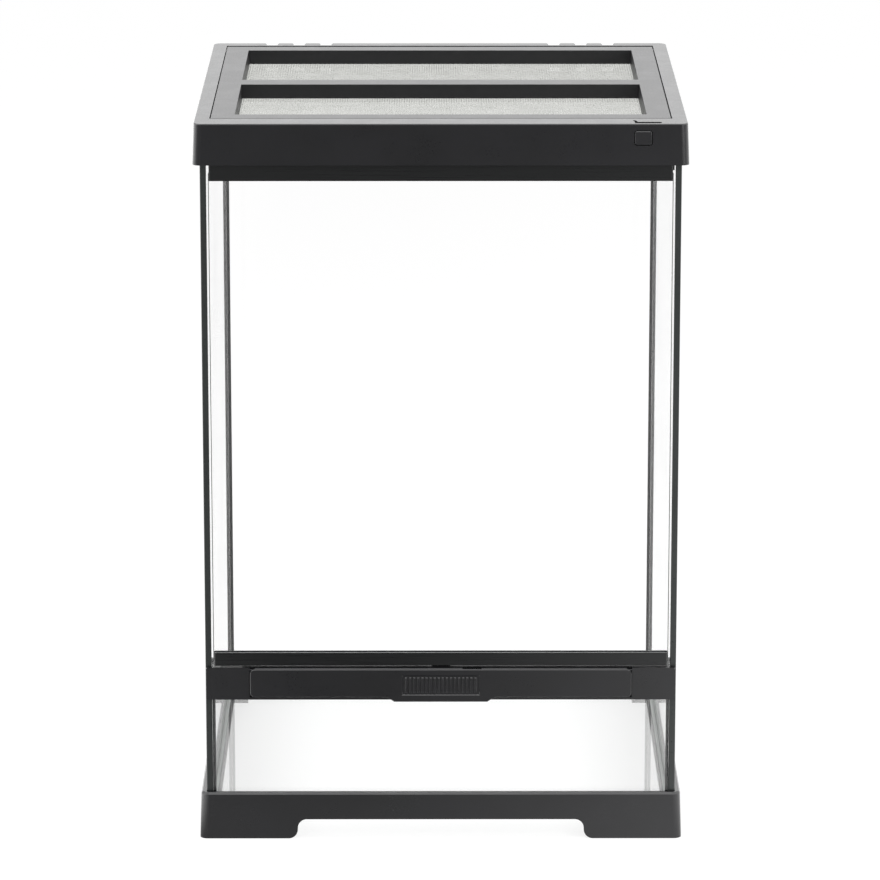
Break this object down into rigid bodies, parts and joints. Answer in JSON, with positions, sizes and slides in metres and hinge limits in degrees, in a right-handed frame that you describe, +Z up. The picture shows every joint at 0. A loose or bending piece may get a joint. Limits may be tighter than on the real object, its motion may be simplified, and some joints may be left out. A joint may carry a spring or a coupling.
{
  "type": "reptile terrarium",
  "caption": "Front-opening glass terrarium with black moulded frames, a ventilated latch bar below the hinged door and a hinged steel mesh screen cover.",
  "frame": {"origin": "centre of the footprint, on the surface that the base stands on", "axes": "+X to the right seen from the door, +Y to the back, +Z up"},
  "size_m": [0.309, 0.309, 0.465],
  "materials": {
    "frame": "satin moulded black",
    "glass": "clear float glass",
    "sealant": "black sealant",
    "steel": "plain",
    "mesh": "woven wire",
    "grey_plastic": "moulded light grey"
  },
  "bodies": {
    "tank": {"base_frame": "frame", "bottom_pane": "glass", "back_pane": "glass", "left_pane": "glass", "right_pane": "glass", "front_lower_pane": "glass", "silicone_rear_left": "sealant", "silicone_rear_right": "sealant", "silicone_front_left": "sealant", "silicone_front_right": "sealant", "silicone_floor": "sealant", "vent_bar": "frame", "vent_grille": "steel", "hinge_bracket": "grey_plastic", "latch_pivot_rod": "steel", "top_frame": "frame", "lid_catch": "steel"},
    "latch_plate": {"latch_plate": "frame", "latch_spring": "steel", "latch_catch": "steel"},
    "door": {"door_pane": "glass", "door_top_rail": "frame", "door_bottom_rail": "frame", "door_pin_top": "steel", "door_pin_bottom": "steel"},
    "cable_gate_left": {"cable_gate_left": "frame"},
    "cable_gate_right": {"cable_gate_right": "frame"},
    "lid": {"lid_frame": "frame", "lid_mesh_front": "mesh", "lid_mesh_rear": "mesh", "lid_mesh_retainer": "frame", "lid_screws": "steel", "lid_pin_left": "steel", "lid_pin_right": "steel"},
    "lid_button": {"lid_latch_button": "frame", "lid_button_spring": "steel"}
  },
  "joints": [
    {"name": "door_hinge", "type": "hinge", "parent": "tank", "child": "door", "pos_m": [-0.142, -0.14775, 0.2], "axis": [0, 0, -1], "range_deg": [0, 95], "deforming": ["latch_catch"]},
    {"name": "latch_hinge", "type": "hinge", "parent": "tank", "child": "latch_plate", "pos_m": [0, -0.1516, 0.1117], "axis": [-1, 0, 0], "range_deg": [0, 32], "stiffness_Nm_per_rad": 0.03, "springref_deg": -17.19, "deforming": ["latch_spring"]},
    {"name": "cover_hinge", "type": "hinge", "parent": "tank", "child": "lid", "pos_m": [0, 0.1387, 0.4615], "axis": [-1, 0, 0], "range_deg": [0, 90], "deforming": ["lid_catch"]},
    {"name": "cover_button", "type": "slide", "parent": "tank", "child": "lid_button", "axis": [0, 1, 0], "range_m": [0, 0.0025], "stiffness_N_per_m": 400, "springref_m": -0.001, "deforming": ["lid_button_spring"]},
    {"name": "cable_gate_slide_left", "type": "slide", "parent": "tank", "child": "cable_gate_left", "axis": [1, 0, 0], "range_m": [0, 0.0091]},
    {"name": "cable_gate_slide_right", "type": "slide", "parent": "tank", "child": "cable_gate_right", "axis": [-1, 0, 0], "range_m": [0, 0.0091]}
  ]
}
